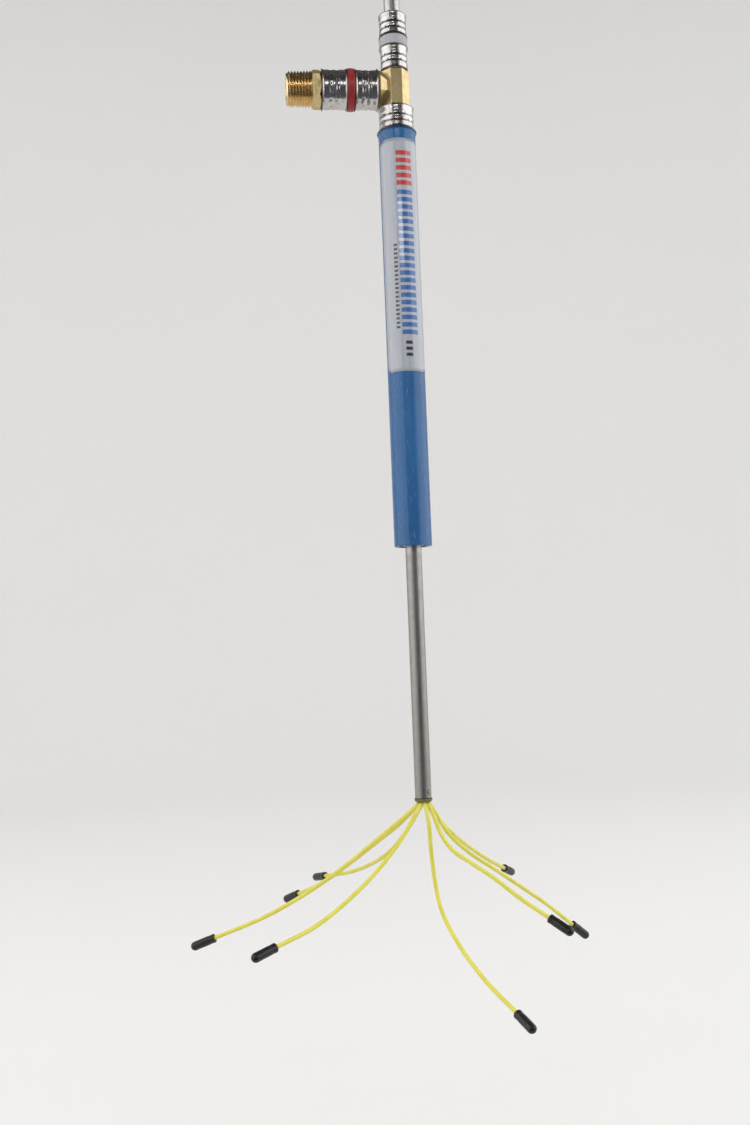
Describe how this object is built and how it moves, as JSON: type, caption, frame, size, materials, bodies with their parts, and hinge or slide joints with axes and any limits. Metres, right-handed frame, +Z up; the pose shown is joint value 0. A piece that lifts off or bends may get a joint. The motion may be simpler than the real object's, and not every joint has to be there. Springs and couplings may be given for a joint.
{
  "type": "carboy washer",
  "caption": "Drill-driven carboy washer: a spinning steel shaft in a blue grip tube with a side water inlet flings yellow whip lines with black rubber tips.",
  "frame": {"origin": "on the spin axis, at the middle of the blue grip tube, where a hand holds it", "axes": "+Z up the shaft to the end that the drill takes, -X out of the threaded water inlet, -Y to the side that carries most of the label"},
  "size_m": [0.2435, 0.2198, 0.6248],
  "materials": {
    "brass": "turned and polished, slightly tarnished",
    "stainless_sleeve": "bright crimped stainless",
    "shaft_steel": "satin drawn tube",
    "blue_plastic": "smooth extruded",
    "label_film": "silvery printed film",
    "white_plastic": "moulded",
    "red_plastic": "moulded",
    "bearing_plastic": "machined",
    "black_rubber": "moulded",
    "plug_resin": "cast",
    "yellow_line": "extruded"
  },
  "bodies": {
    "housing": {"tee_body": "brass", "grip_tube": "blue_plastic", "grip_label": "label_film", "tube_sleeve": "stainless_sleeve", "top_lower_sleeve": "stainless_sleeve", "top_upper_sleeve": "stainless_sleeve", "branch_inner_sleeve": "stainless_sleeve", "branch_outer_sleeve": "stainless_sleeve", "top_nipple": "white_plastic", "branch_nipple": "red_plastic", "top_bearing": "bearing_plastic", "shaft_seal": "black_rubber", "inlet_adapter": "brass", "lower_guide": "bearing_plastic"},
    "rotor": {"drive_shaft": "shaft_steel", "shank_core": "shaft_steel", "upper_thrust_collar": "shaft_steel", "lower_thrust_collar": "shaft_steel", "line_plug": "plug_resin", "plug_pin": "shaft_steel"},
    "whip_1": {"whip_line_1": "yellow_line", "tip_cap_1": "black_rubber"},
    "whip_2": {"whip_line_2": "yellow_line", "tip_cap_2": "black_rubber"},
    "whip_3": {"whip_line_3": "yellow_line", "tip_cap_3": "black_rubber"},
    "whip_4": {"whip_line_4": "yellow_line", "tip_cap_4": "black_rubber"},
    "whip_5": {"whip_line_5": "yellow_line", "tip_cap_5": "black_rubber"},
    "whip_6": {"whip_line_6": "yellow_line", "tip_cap_6": "black_rubber"},
    "whip_7": {"whip_line_7": "yellow_line", "tip_cap_7": "black_rubber"},
    "whip_8": {"whip_line_8": "yellow_line", "tip_cap_8": "black_rubber"}
  },
  "joints": [
    {"name": "shaft_spin", "type": "hinge", "parent": "housing", "child": "rotor", "pos_m": [0, 0, 0], "axis": [0, 0, 1], "continuous": true},
    {"name": "whip_1_swing", "type": "hinge", "parent": "rotor", "child": "whip_1", "pos_m": [0.00036, -0.00338, -0.2747], "axis": [-0.9272, -0.3746, 0], "range_deg": [-15, 42], "stiffness_Nm_per_rad": 0.04, "springref_deg": 0.65},
    {"name": "whip_2_swing", "type": "hinge", "parent": "rotor", "child": "whip_2", "pos_m": [0.00264, -0.00214, -0.2747], "axis": [-0.6157, -0.788, 0], "range_deg": [-22, 34], "stiffness_Nm_per_rad": 0.04, "springref_deg": 0.52},
    {"name": "whip_3_swing", "type": "hinge", "parent": "rotor", "child": "whip_3", "pos_m": [0.00338, 0.00036, -0.2747], "axis": [0.4067, -0.9135, 0], "range_deg": [-32, 36], "stiffness_Nm_per_rad": 0.04, "springref_deg": 0.84},
    {"name": "whip_4_swing", "type": "hinge", "parent": "rotor", "child": "whip_4", "pos_m": [0.00214, 0.00264, -0.2747], "axis": [0.8192, -0.5736, 0], "range_deg": [-50, 25], "stiffness_Nm_per_rad": 0.04, "springref_deg": 0.89},
    {"name": "whip_5_swing", "type": "hinge", "parent": "rotor", "child": "whip_5", "pos_m": [-0.00036, 0.00338, -0.2747], "axis": [0.8988, 0.4384, 0], "range_deg": [-40, 24], "stiffness_Nm_per_rad": 0.04, "springref_deg": 1},
    {"name": "whip_6_swing", "type": "hinge", "parent": "rotor", "child": "whip_6", "pos_m": [-0.00264, 0.00214, -0.2747], "axis": [0.788, 0.6157, 0], "range_deg": [-50, 28], "stiffness_Nm_per_rad": 0.04, "springref_deg": 0.93},
    {"name": "whip_7_swing", "type": "hinge", "parent": "rotor", "child": "whip_7", "pos_m": [-0.00338, -0.00036, -0.2747], "axis": [0.1908, 0.9816, 0], "range_deg": [-50, 28], "stiffness_Nm_per_rad": 0.04, "springref_deg": 1.06},
    {"name": "whip_8_swing", "type": "hinge", "parent": "rotor", "child": "whip_8", "pos_m": [-0.00214, -0.00264, -0.2747], "axis": [-0.5592, 0.829, 0], "range_deg": [-36, 26], "stiffness_Nm_per_rad": 0.04, "springref_deg": 0.84}
  ]
}
